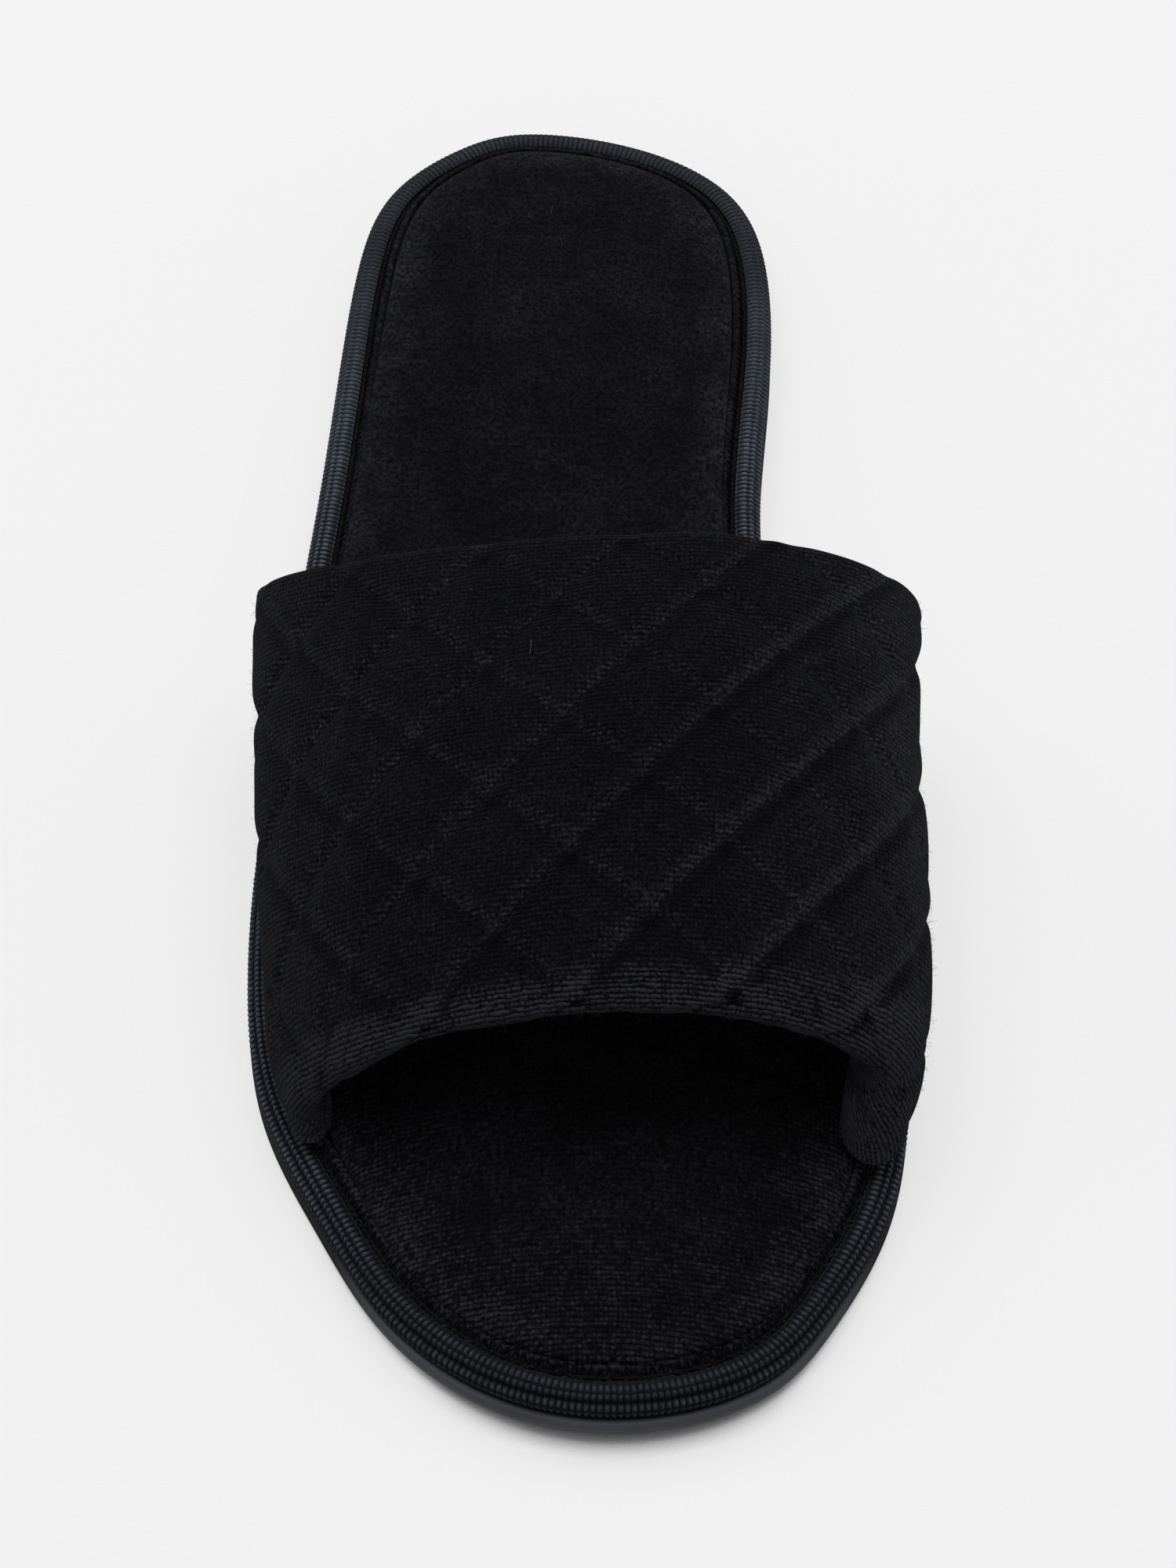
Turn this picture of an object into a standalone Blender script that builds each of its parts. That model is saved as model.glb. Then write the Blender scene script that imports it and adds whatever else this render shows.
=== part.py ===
"""Scuff slipper for the right foot: open toe, quilted band over the forefoot, bound flat sole.

Sizes are in metres, +Z is up, the toe points to -Y and the big-toe side is +X.
The origin lies on the floor under the middle of the shoe.
"""
import math

import bmesh
import bpy
import numpy as np

# Main sizes
LENGTH = 0.270
WIDTH = 0.104
CROWN = 0.0615
GAP = 0.0003

# Outsole
SOLE_TOE = 0.0035
SOLE_HEEL = 0.0058
SOLE_EDGE = 0.0008
SOLE_TOP_EDGE = 0.0004
ARCH_LIFT = 0.0012
TOE_SPRING = 0.0022

# Binding tape folded over the edge of the sole
TAPE = 0.0010
BINDING_TALL = 0.0052
BINDING_REACH = 0.0044

# Padded footbed
FOOTBED_THICK = 0.0037
FOOTBED_CROWN = 0.0006

# Quilted upper
WALL = 0.0036
FRONT_ROLL = 0.0046
BASE_WALL = 0.0020
QUILT = 0.0231
PUFF = 0.0012
LINING_PUFF = 0.0004

# Points round the sole
ROUND = 2 * 44

# Cells of the upper, six to a diamond: from its middle to its base, and along it
CELL = QUILT / 6.0
ACROSS = round(0.89 * WIDTH / CELL)
ALONG = round(0.285 * LENGTH / CELL)

# Edge of the sole, seen from above: share of the length from the heel, and how far
# the edge stands out to either side, in shares of the width
OUTLINE = (
    # from_heel, lateral, medial
    (0.000, 0.099, -0.099),
    (0.017, 0.239, 0.105),
    (0.060, 0.350, 0.253),
    (0.130, 0.404, 0.313),
    (0.220, 0.426, 0.314),
    (0.320, 0.445, 0.291),
    (0.420, 0.468, 0.293),
    (0.520, 0.492, 0.350),
    (0.620, 0.514, 0.423),
    (0.720, 0.515, 0.472),
    (0.800, 0.481, 0.474),
    (0.870, 0.397, 0.437),
    (0.930, 0.306, 0.358),
    (0.975, 0.183, 0.260),
    (1.000, -0.036, 0.036),
)

# Sections of the upper from the toe opening to the throat: ridge height and height
# of the widest spot in shares of the crown, ridge place and reach to either side in
# shares of the width, and how square each shoulder is (2 is an ellipse)
SECTIONS = (
    # along, ridge, ridge_x, widest, lateral, medial, lateral_square, medial_square
    (0.00, 0.722, 0.060, 0.270, 0.440, 0.470, 1.66, 2.10),
    (0.35, 0.860, 0.090, 0.390, 0.474, 0.503, 1.70, 1.90),
    (0.70, 0.958, 0.125, 0.460, 0.502, 0.502, 1.64, 1.78),
    (1.00, 0.992, 0.145, 0.490, 0.519, 0.519, 1.62, 1.72),
)

# Ends of the upper, in shares of the length from the toe tip
ENDS = (
    # end, ridge, lateral_widest, medial_widest, lateral_base, medial_base
    ("toe_opening", 0.172, 0.175, 0.165, 0.170, 0.159),
    ("throat", 0.460, 0.514, 0.498, 0.522, 0.488),
)


def ramp(value, start, end):
    """Smooth step from 0 at start to 1 at end."""
    share = np.clip((value - start) / (end - start), 0.0, 1.0)
    return share * share * (3.0 - 2.0 * share)


def closed_curve(knots, values):
    """Smooth closed curve through the values, as a function of an angle."""
    count = len(knots)
    steps = np.diff(np.append(knots, knots[0] + 2.0 * math.pi))
    left = np.zeros((count, count))
    right = np.zeros(count)
    for here in range(count):
        before = (here - 1) % count
        after = (here + 1) % count
        left[here, before] += steps[before]
        left[here, here] += 2.0 * (steps[before] + steps[here])
        left[here, after] += steps[here]
        rise = (values[after] - values[here]) / steps[here]
        fall = (values[here] - values[before]) / steps[before]
        right[here] = 6.0 * (rise - fall)
    bend = np.linalg.solve(left, right)

    def curve(angle):
        angle = np.mod(angle, 2.0 * math.pi)
        here = np.searchsorted(knots, angle, side="right") - 1
        after = (here + 1) % count
        step = steps[here]
        part = (angle - knots[here]) / step
        rest = 1.0 - part
        line = rest * values[here] + part * values[after]
        curl = (rest ** 3 - rest) * bend[here] + (part ** 3 - part) * bend[after]
        return line + curl * step * step / 6.0

    return curve


def read_outline():
    """The edge of the sole as a function of the angle round it, heel first."""
    angles = [math.acos(1.0 - 2.0 * row[0]) for row in OUTLINE]
    lateral = [-row[1] * WIDTH for row in OUTLINE]
    medial = [row[2] * WIDTH for row in OUTLINE[1:-1]]
    knots = angles + [2.0 * math.pi - angle for angle in angles[-2:0:-1]]
    return closed_curve(np.array(knots), np.array(lateral + medial[::-1]))


EDGE = read_outline()


def outline(inset):
    """Points round the sole, each moved inward by the inset, heel tip first."""
    angle = np.arange(ROUND) * 2.0 * math.pi / ROUND
    x = EDGE(angle)
    y = LENGTH / 2.0 * np.cos(angle)
    near = 0.001
    along_x = (EDGE(angle + near) - EDGE(angle - near)) / (2.0 * near)
    along_y = -LENGTH / 2.0 * np.sin(angle)
    size = np.hypot(along_x, along_y)
    return x + inset * along_y / size * -1.0, y + inset * along_x / size


def from_heel(y):
    return 0.5 - y / LENGTH


def ground(y):
    """Underside of the sole: flat heel, low arch, flat ball, rising toe."""
    share = from_heel(y)
    arch = ramp(share, 0.32, 0.44) * (1.0 - ramp(share, 0.48, 0.60))
    toe = np.clip((share - 0.78) / 0.22, 0.0, 1.2)
    return ARCH_LIFT * arch + TOE_SPRING * toe * toe


def seat(y):
    """Top of the outsole, thicker at the heel."""
    heel = 1.0 - ramp(from_heel(y), 0.22, 0.62)
    return ground(y) + SOLE_TOE + (SOLE_HEEL - SOLE_TOE) * heel


def ring(inset, height, base=seat):
    """One closed row of points round the sole, at a height over the base."""
    x, y = outline(inset)
    return [(x[k], y[k], base(y)[k] + height) for k in range(ROUND)]


def solid(name, rows, ends_meet=False):
    """Closed body through rows of points; the first and last row are filled across."""
    mesh = bmesh.new()
    verts = [[mesh.verts.new(point) for point in row] for row in rows]
    count = len(rows[0])
    pairs = list(zip(verts, verts[1:]))
    if ends_meet:
        pairs.append((verts[-1], verts[0]))
    for low, high in pairs:
        for k in range(count):
            after = (k + 1) % count
            mesh.faces.new((low[k], low[after], high[after], high[k]))
    if not ends_meet:
        for row in (verts[0], verts[-1]):
            mesh.faces.new((row[0], row[1], row[-1]))
            for k in range(1, count // 2 - 1):
                mesh.faces.new((row[k], row[k + 1], row[-k - 1], row[-k]))
            middle = count // 2
            mesh.faces.new((row[middle - 1], row[middle], row[middle + 1]))
    bmesh.ops.triangulate(mesh, faces=mesh.faces[:])
    bmesh.ops.recalc_face_normals(mesh, faces=mesh.faces[:])
    data = bpy.data.meshes.new(name)
    mesh.to_mesh(data)
    mesh.free()
    data.shade_smooth()
    body = bpy.data.objects.new(name, data)
    return body


def material(name, colour, roughness, sheen):
    """A plain surface with its own colour."""
    made = bpy.data.materials.new(name)
    made.use_nodes = True
    shader = made.node_tree.nodes["Principled BSDF"]
    shader.inputs["Base Color"].default_value = (*colour, 1.0)
    shader.inputs["Roughness"].default_value = roughness
    shader.inputs["Sheen Weight"].default_value = sheen
    made.diffuse_color = (*colour, 1.0)
    return made


# Outsole: one sheet with a rounded lower edge
def make_outsole():
    rows = [
        ring(1.2 * SOLE_EDGE, 0.0, ground),
        ring(0.35 * SOLE_EDGE, 0.35 * SOLE_EDGE, ground),
        ring(0.0, 1.2 * SOLE_EDGE, ground),
        ring(0.0, -SOLE_TOP_EDGE),
        ring(SOLE_TOP_EDGE, 0.0),
    ]
    return solid("outsole", rows)


# Heights over the top of the outsole
BINDING_FOOT = GAP
BINDING_TOP = BINDING_FOOT + BINDING_TALL
MIDSOLE_TOP = BINDING_TOP - TAPE - GAP
UPPER_FOOT = MIDSOLE_TOP + GAP
GROOVE_TOP = BINDING_TOP + GAP
BASE_RISE = 0.6 * FOOTBED_THICK


# Inside of the folded tape: its side and where it turns to the upper and lower fold
TAPE_SIDE = 1.3 * TAPE
TAPE_TURN = 2.2 * TAPE
FOLD_INSIDE = BINDING_TALL - 2.0 * TAPE


# Binding: tape folded round the edge of the sole, open to the inside
def make_binding():
    outside = (
        # inset in shares of the reach, height in shares of the tall side
        (1.00, 0.00),
        (0.45, 0.00),
        (0.17, 0.07),
        (0.00, 0.30),
        (0.00, 0.66),
        (0.13, 0.90),
        (0.42, 1.00),
        (1.00, 0.98),
    )
    inside = (
        # inset, height in shares of the space between the folds
        (BINDING_REACH, 1.00),
        (TAPE_TURN, 1.00),
        (TAPE_SIDE, 0.78),
        (TAPE_SIDE, 0.22),
        (TAPE_TURN, 0.00),
        (BINDING_REACH, 0.00),
    )
    rows = [ring(u * BINDING_REACH, BINDING_FOOT + v * BINDING_TALL) for u, v in outside]
    rows += [ring(inset, BINDING_FOOT + TAPE + v * FOLD_INSIDE) for inset, v in inside]
    return solid("binding", rows, ends_meet=True)


# Midsole: insole board and foam, stepped over the lower fold of the binding
def make_midsole():
    step = BINDING_FOOT + TAPE + GAP
    turn = 0.22 * FOLD_INSIDE
    rows = [
        ring(BINDING_REACH + GAP, BINDING_FOOT),
        ring(BINDING_REACH + GAP, step),
        ring(TAPE_TURN + GAP, step),
        ring(TAPE_SIDE + GAP, step + turn),
        ring(TAPE_SIDE + GAP, MIDSOLE_TOP - turn),
        ring(TAPE_TURN + GAP, MIDSOLE_TOP),
    ]
    return solid("midsole", rows)


# Footbed: soft pad with rounded edges inside the seam groove
def make_footbed():
    inset = BINDING_REACH + 2.0 * GAP + BASE_WALL
    foot = UPPER_FOOT
    thick = FOOTBED_THICK
    edge = (
        # inset added and height, in shares of the thickness
        (0.35, 0.00),
        (0.08, 0.10),
        (0.00, 0.34),
        (0.09, 0.62),
        (0.40, 0.86),
        (1.10, 1.00),
    )
    rows = [ring(inset + u * thick, foot + v * thick) for u, v in edge]
    rows.append(ring(inset + 4.2 * thick, foot + thick + FOOTBED_CROWN))
    return solid("footbed", rows)


def edge_at(y, inset, side):
    """How far out the inset edge of the sole stands at y, -1 lateral or 1 medial."""
    x, edge_y = outline(inset)
    half = ROUND // 2
    if side < 0:
        return float(np.interp(-y, -edge_y[:half + 1], x[:half + 1]))
    x = np.append(x[half:], x[0])
    edge_y = np.append(edge_y[half:], edge_y[0])
    return float(np.interp(y, edge_y, x))


def section_sizes(along):
    """Sizes of one section of the upper, by a smooth curve through the table rows."""
    places = [row[0] for row in SECTIONS]
    power = np.polyfit(places, [row[1:] for row in SECTIONS], len(places) - 1)
    return [float(np.polyval(power[:, k], along)) for k in range(power.shape[1])]


def end_places(along):
    """Y of the ridge, widest spots and bases at a share of the way to the throat."""
    front = np.array(ENDS[0][1:]) * LENGTH + FRONT_ROLL / 2.0
    back = np.array(ENDS[1][1:]) * LENGTH - WALL / 2.0
    return front + (back - front) * along - LENGTH / 2.0


def section(along):
    """Fine curve over the foot, from the lateral base to the medial base."""
    ridge, ridge_x, widest, lateral, medial, square_l, square_m = section_sizes(along)
    ridge_z = ridge * CROWN
    widest_z = widest * CROWN
    ridge_x *= WIDTH
    y_ridge, y_wide_l, y_wide_m, y_base_l, y_base_m = end_places(along)
    inset = BINDING_REACH + GAP
    walls = []
    for side, y_base, y_wide, reach in (
        (-1.0, y_base_l, y_wide_l, lateral),
        (1.0, y_base_m, y_wide_m, medial),
    ):
        x_base = edge_at(y_base, inset, side)
        foot = float(seat(np.array(y_base)))
        low = foot + UPPER_FOOT
        lip = foot + GROOVE_TOP
        wall = [(x_base, y_base, low)]
        for share in np.linspace(0.0, 1.0, 40):
            x = x_base + (side * reach * WIDTH - x_base) * math.sin(share * math.pi / 2.0)
            y = y_base + (y_wide - y_base) * share
            wall.append((x, y, lip + (widest_z - lip) * share))
        walls.append(wall)
    arch = []
    for angle in np.linspace(0.0, math.pi, 160)[1:-1]:
        square = square_l if angle < math.pi / 2.0 else square_m
        reach = -lateral * WIDTH if angle < math.pi / 2.0 else medial * WIDTH
        y_wide = y_wide_l if angle < math.pi / 2.0 else y_wide_m
        out = abs(math.cos(angle)) ** (2.0 / square)
        up = math.sin(angle) ** (2.0 / square)
        x = ridge_x + (reach - ridge_x) * out
        y = y_ridge + (y_wide - y_ridge) * (1.0 - up)
        arch.append((x, y, widest_z + (ridge_z - widest_z) * up))
    return np.array(walls[0] + arch + walls[1][::-1])


def columns(curve):
    """Points of one section, spaced by the quilting and gathered toward the base."""
    steps = np.linalg.norm(np.diff(curve, axis=0), axis=1)
    length = np.concatenate(([0.0], np.cumsum(steps)))
    crown = slice(len(curve) // 4, -len(curve) // 4)
    centre = float(np.interp(-0.030 * WIDTH, curve[crown, 0], length[crown]))
    lip = GROOVE_TOP - UPPER_FOOT
    places = []
    for side, total in ((-1.0, centre), (1.0, length[-1] - centre)):
        last = ACROSS - 2
        count = np.arange(1, last + 1)
        extra = total - lip - BASE_RISE - CELL * last
        spread = np.clip(1.6 * count / last - 0.6, 0.0, 1.0) ** 1.5
        reach = np.append(CELL * count + extra * spread, (total - lip, total))
        places.append(centre + side * reach)
    spots = np.concatenate((places[0][::-1], [centre], places[1]))
    return np.stack([np.interp(spots, length, curve[:, k]) for k in range(3)], axis=1)


def upper_grid():
    """Outer face of the upper without its quilting, columns across by rows along."""
    rows = []
    for j in range(ALONG + 1):
        along = j / ALONG
        rows.append(columns(section(along)))
    return np.array(rows).transpose(1, 0, 2)


def outward(grid):
    """Outward directions over a grid of points."""
    across = np.gradient(grid, axis=0)
    along = np.gradient(grid, axis=1)
    normal = np.cross(across, along)
    normal /= np.linalg.norm(normal, axis=2, keepdims=True)
    return normal


def quilting():
    """Share of the puff at each grid point: 0 on the stitched lines, 1 between them."""
    i, j = np.meshgrid(np.arange(-ACROSS, ACROSS + 1), np.arange(ALONG + 1), indexing="ij")
    rising = np.sin((i + j) * math.pi / 6.0) ** 2
    falling = np.sin((i - j) * math.pi / 6.0) ** 2
    puff = np.sqrt(np.sqrt(rising * falling)) * ramp(ACROSS - np.abs(i), 1.0, 3.0)
    return 0.5 + (puff - 0.5) * ramp(j, -1.0, 2.0)


# Upper: quilted band of real thickness, standing in the groove beside the footbed
def make_upper():
    grid = upper_grid()
    normal = outward(grid)
    steps = np.linalg.norm(np.diff(grid, axis=0), axis=2)
    from_base = np.concatenate((np.zeros((1, ALONG + 1)), np.cumsum(steps, axis=0)))
    from_base = np.minimum(from_base, from_base[-1] - from_base)
    start = GROOVE_TOP - UPPER_FOOT + 0.75 * BASE_RISE
    full = start + 1.3 * BASE_RISE
    end = WALL + (FRONT_ROLL - WALL) * (1.0 - ramp(np.arange(ALONG + 1), 0.0, 2.0))
    thick = BASE_WALL + (end - BASE_WALL) * ramp(from_base, start, full)
    puff = quilting()
    outer = grid + normal * ((puff - 0.5) * PUFF * ramp(from_base, start, full))[..., None]
    inner = grid - normal * (thick + LINING_PUFF * puff)[..., None]
    inset = BINDING_REACH + GAP + BASE_WALL
    for i, side in ((0, -1.0), (1, -1.0), (2 * ACROSS - 1, 1.0), (2 * ACROSS, 1.0)):
        for j in range(ALONG + 1):
            outer[i, j] = grid[i, j]
            x = edge_at(grid[i, j, 1], inset, side)
            inner[i, j] = (x, grid[i, j, 1], grid[i, j, 2])
    loops = []
    for i in range(2 * ACROSS + 1):
        front = rim(outer[i, 0], inner[i, 0], outer[i, 0] - outer[i, 1])
        back = rim(outer[i, -1], inner[i, -1], outer[i, -1] - outer[i, -2])
        loops.append([front[1], front[0], *outer[i], *back, *inner[i, ::-1], front[2]])
    return solid("upper", loops)


def rim(outer, inner, ahead):
    """Three points of a rounded edge between the faces of the upper."""
    across = (inner - outer) / 2.0
    size = np.linalg.norm(across)
    ahead = ahead - across * np.dot(ahead, across) / size ** 2
    ahead = ahead / np.linalg.norm(ahead) * size
    middle = (outer + inner) / 2.0
    turns = (0.25 * math.pi, 0.5 * math.pi, 0.75 * math.pi)
    return [middle - across * math.cos(turn) + ahead * math.sin(turn) for turn in turns]


def build():
    for old in list(bpy.data.objects):
        bpy.data.objects.remove(old)
    shoe = bpy.data.collections.new("scuff_slipper")
    bpy.context.scene.collection.children.link(shoe)
    pieces = (
        (make_outsole(), material("rubber", (0.042, 0.044, 0.049), 0.55, 0.0)),
        (make_midsole(), material("board", (0.055, 0.050, 0.045), 0.80, 0.0)),
        (make_binding(), material("knit_tape", (0.032, 0.033, 0.038), 0.80, 0.3)),
        (make_footbed(), material("footbed_velour", (0.006, 0.006, 0.008), 0.90, 0.4)),
        (make_upper(), material("quilted_velour", (0.007, 0.007, 0.009), 0.90, 0.5)),
    )
    for body, surface in pieces:
        body.data.materials.append(surface)
        shoe.objects.link(body)


build()
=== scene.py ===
"""Looks of a scuff slipper for the right foot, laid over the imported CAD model.

Metres, +Z up. The toe points to -Y and the big-toe side is +X.
"""

import math

import bmesh
import bpy
import numpy as np
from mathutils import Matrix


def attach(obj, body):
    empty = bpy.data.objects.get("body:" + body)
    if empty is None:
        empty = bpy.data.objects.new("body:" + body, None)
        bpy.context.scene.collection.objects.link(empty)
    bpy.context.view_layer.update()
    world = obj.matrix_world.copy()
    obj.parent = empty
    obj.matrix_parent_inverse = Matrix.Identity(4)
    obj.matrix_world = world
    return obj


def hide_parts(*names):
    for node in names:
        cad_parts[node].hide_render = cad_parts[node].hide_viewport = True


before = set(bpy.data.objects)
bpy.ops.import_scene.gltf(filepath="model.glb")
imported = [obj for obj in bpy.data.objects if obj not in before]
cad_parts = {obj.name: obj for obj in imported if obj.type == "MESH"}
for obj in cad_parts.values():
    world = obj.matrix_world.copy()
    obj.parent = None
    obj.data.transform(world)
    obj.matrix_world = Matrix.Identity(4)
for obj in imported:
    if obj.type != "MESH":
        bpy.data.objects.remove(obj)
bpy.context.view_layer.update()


# Studio: the camera looks down on the toe through a long lens. A wide soft box hangs
# overhead, smaller ones stand in front and at both sides, and a white room fills in.
FOCAL_LENGTH = 85.0
SENSOR_WIDTH = 36.0
CAMERA_PLACE = (0.0, -0.39189, 0.48502)
CAMERA_TILT = 38.0
ROOM_COLOUR = (0.97, 0.98, 1.0, 1.0)
ROOM_LIGHT = 0.36
BACKDROP_COLOUR = (0.879, 0.879, 0.879, 1.0)
FLOOR_HALF = 4.0
SOFT_BOXES = (
    # name, place, width, height, power
    ("top_box", (-0.10, 0.60, 2.15), 2.2, 2.2, 38.0),
    ("front_box", (0.00, -2.10, 1.10), 2.4, 1.0, 3.0),
    ("left_box", (-2.20, 0.00, 1.00), 2.0, 1.0, 5.0),
    ("right_box", (2.20, 0.00, 1.00), 2.0, 1.0, 5.0),
)


def put(name, data):
    """An object in the scene."""
    made = bpy.data.objects.new(name, data)
    bpy.context.scene.collection.objects.link(made)
    return made


def feed(node, inputs):
    """Give a node a value or a link for each named input."""
    for name, value in inputs.items():
        if isinstance(value, bpy.types.NodeSocket):
            node.id_data.links.new(value, node.inputs[name])
        else:
            node.inputs[name].default_value = value
    return node


def add(tree, kind, inputs=(), **settings):
    """A shader node with its settings and inputs."""
    made = tree.nodes.new("ShaderNode" + kind)
    for name, value in settings.items():
        setattr(made, name, value)
    return feed(made, dict(inputs))


lens = bpy.data.cameras.new("photo_camera")
lens.lens = FOCAL_LENGTH
lens.sensor_width = SENSOR_WIDTH
camera = put("photo_camera", lens)
camera.location = CAMERA_PLACE
camera.rotation_euler = (math.radians(CAMERA_TILT), 0.0, 0.0)
bpy.context.scene.camera = camera
bpy.context.scene.view_settings.view_transform = "Standard"

room = bpy.data.worlds.new("white_room")
room.use_nodes = True
tree = room.node_tree
walls = feed(tree.nodes["Background"], {"Color": ROOM_COLOUR, "Strength": ROOM_LIGHT})
backdrop = add(tree, "Background", {"Color": BACKDROP_COLOUR})
to_camera = add(tree, "LightPath").outputs["Is Camera Ray"]
seen = add(tree, "MixShader", {0: to_camera, 1: walls.outputs[0], 2: backdrop.outputs[0]})
feed(tree.nodes["World Output"], {"Surface": seen.outputs[0]})
bpy.context.scene.world = room

for name, place, width, height, power in SOFT_BOXES:
    lamp = bpy.data.lights.new(name, "AREA")
    lamp.shape = "RECTANGLE"
    lamp.size = width
    lamp.size_y = height
    lamp.energy = power
    soft_box = put(name, lamp)
    soft_box.location = place
    soft_box.rotation_euler = (-soft_box.location).to_track_quat("-Z", "Y").to_euler()

sweep = bmesh.new()
bmesh.ops.create_grid(sweep, x_segments=2, y_segments=2, size=FLOOR_HALF)
sweep_mesh = bpy.data.meshes.new("paper_floor")
sweep.to_mesh(sweep_mesh)
sweep.free()
paper_floor = put("paper_floor", sweep_mesh)


# Outsole: one thin moulded rubber sheet, cut to the shape of the last. It is flat under
# heel and ball, lifts at the arch and toe, and has a fine mould line low on its side.
LENGTH = 0.270
WIDTH = 0.104
SOLE_TOE = 0.0035
SOLE_HEEL = 0.0058
ARCH_LIFT = 0.0012
TOE_SPRING = 0.0022
SPINE_SHORT = 0.030
MM = 1000.0  # millimetres in a metre
ROUND = 2.0 * math.pi
SOLE_EDGE = (
    # share of the length from the heel, lateral and medial reach in shares of the width
    (0.000, 0.099, -0.099),
    (0.017, 0.239, 0.105),
    (0.060, 0.350, 0.253),
    (0.130, 0.404, 0.313),
    (0.220, 0.426, 0.314),
    (0.320, 0.445, 0.291),
    (0.420, 0.468, 0.293),
    (0.520, 0.492, 0.350),
    (0.620, 0.514, 0.423),
    (0.720, 0.515, 0.472),
    (0.800, 0.481, 0.474),
    (0.870, 0.397, 0.437),
    (0.930, 0.306, 0.358),
    (0.975, 0.183, 0.260),
    (1.000, -0.036, 0.036),
)


def ramp(value, start, end):
    """Smooth step from 0 at start to 1 at end."""
    share = np.clip((value - start) / (end - start), 0.0, 1.0)
    return share * share * (3.0 - 2.0 * share)


def closed_curve(knots, values):
    """Smooth closed curve through the values, as a function of an angle."""
    count = len(knots)
    steps = np.diff(np.append(knots, knots[0] + ROUND))
    here = np.arange(count)
    before = np.roll(steps, 1)
    left = np.diag(2.0 * (before + steps))
    left[here, here - 1] += before
    left[here, (here + 1) % count] += steps
    rise = (np.roll(values, -1) - values) / steps
    bend = np.linalg.solve(left, 6.0 * (rise - np.roll(rise, 1)))

    def curve(angle):
        angle = np.mod(angle, ROUND)
        here = np.searchsorted(knots, angle, side="right") - 1
        after = (here + 1) % count
        step = steps[here]
        part = (angle - knots[here]) / step
        rest = 1.0 - part
        line = rest * values[here] + part * values[after]
        curl = (rest**3 - rest) * bend[here] + (part**3 - part) * bend[after]
        return line + curl * step * step / 6.0

    return curve


edge_angles = [math.acos(1.0 - 2.0 * station[0]) for station in SOLE_EDGE]
edge_x = closed_curve(
    np.array(edge_angles + [ROUND - angle for angle in edge_angles[-2:0:-1]]),
    np.array([-station[1] * WIDTH for station in SOLE_EDGE]
             + [station[2] * WIDTH for station in SOLE_EDGE[-2:0:-1]]),
)


def round_sole(angle, inset):
    """Points round the sole, heel tip first, moved inward by the inset."""
    near = 0.001
    along_x = (edge_x(angle + near) - edge_x(angle - near)) / (2.0 * near)
    along_y = -LENGTH / 2.0 * np.sin(angle)
    size = np.hypot(along_x, along_y)
    x = edge_x(angle) - inset * along_y / size
    y = LENGTH / 2.0 * np.cos(angle) + inset * along_x / size
    return x, y


def spine(angle):
    """Points down the middle of the sole, where both halves meet."""
    y = (LENGTH / 2.0 - SPINE_SHORT) * np.cos(angle)
    across = np.arccos(2.0 * y / LENGTH)
    return (edge_x(across) + edge_x(ROUND - across)) / 2.0, y


def ground(y):
    """Underside of the sole: flat heel, low arch, flat ball, rising toe."""
    share = 0.5 - y / LENGTH
    arch = ramp(share, 0.32, 0.44) * (1.0 - ramp(share, 0.48, 0.60))
    toe = np.clip((share - 0.78) / 0.22, 0.0, 1.2)
    return ARCH_LIFT * arch + TOE_SPRING * toe * toe


def seat(y):
    """Top of the outsole, thicker at the heel."""
    heel = 1.0 - ramp(0.5 - y / LENGTH, 0.22, 0.62)
    return ground(y) + SOLE_TOE + (SOLE_HEEL - SOLE_TOE) * heel


def sole_row(angle, inset, height, base=seat):
    """Points round the sole at an inset, at a height over its ground or seat."""
    x, y = round_sole(angle, inset)
    return np.stack((x, y, base(y) + height), axis=1)


def inward(edge, angle, share, base=seat, height=0.0):
    """Points from an edge row toward the spine, at a height over the base."""
    spine_x, spine_y = spine(angle)
    x = edge[:, 0] + (spine_x - edge[:, 0]) * share
    y = edge[:, 1] + (spine_y - edge[:, 1]) * share
    return np.stack((x, y, base(y) + height), axis=1)


def as_piece(name, mesh):
    """A smooth piece made from a bmesh, with its faces turned outward."""
    bmesh.ops.recalc_face_normals(mesh, faces=mesh.faces)
    data = bpy.data.meshes.new(name)
    mesh.to_mesh(data)
    mesh.free()
    data.shade_smooth()
    return put(name, data)


def skin(name, points, **maps):
    """A closed piece from rows of surface points. A grid is moved onto the points and its
    seams are merged. Each map holds the points' places in a pattern, such as the cloth."""
    mesh = bmesh.new()
    layers = [mesh.loops.layers.uv.new(title) for title in maps]
    around, across = points.shape[:2]
    bmesh.ops.create_grid(mesh, x_segments=around - 1, y_segments=across - 1, size=0.5)
    i = np.array([round((vert.co.x + 0.5) * (around - 1)) for vert in mesh.verts])
    j = np.array([round((vert.co.y + 0.5) * (across - 1)) for vert in mesh.verts])
    for layer, pattern in zip(layers, maps.values()):
        spots = pattern[i, j]
        for face in mesh.faces:
            for loop in face.loops:
                loop[layer].uv = spots[loop.vert.index]
    for vert, place in zip(mesh.verts, points[i, j]):
        vert.co = place
    bmesh.ops.remove_doubles(mesh, verts=mesh.verts, dist=1e-6)
    bmesh.ops.dissolve_degenerate(mesh, edges=mesh.edges, dist=1e-7)
    return as_piece(name, mesh)


def measured(points):
    """Length along each line of points, across the piece."""
    steps = np.linalg.norm(np.diff(points, axis=1), axis=2)
    return np.concatenate((np.zeros((len(points), 1)), np.cumsum(steps, axis=1)), axis=1)


def calc(operation, *values):
    """One Math node's result, in the tree of its first linked value."""
    tree = next(value.id_data for value in values if isinstance(value, bpy.types.NodeSocket))
    return add(tree, "Math", dict(enumerate(values)), operation=operation).outputs[0]


def scaled(value, by, plus):
    """A value times a number or value, plus another."""
    return calc("MULTIPLY_ADD", value, by, plus)


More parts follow.
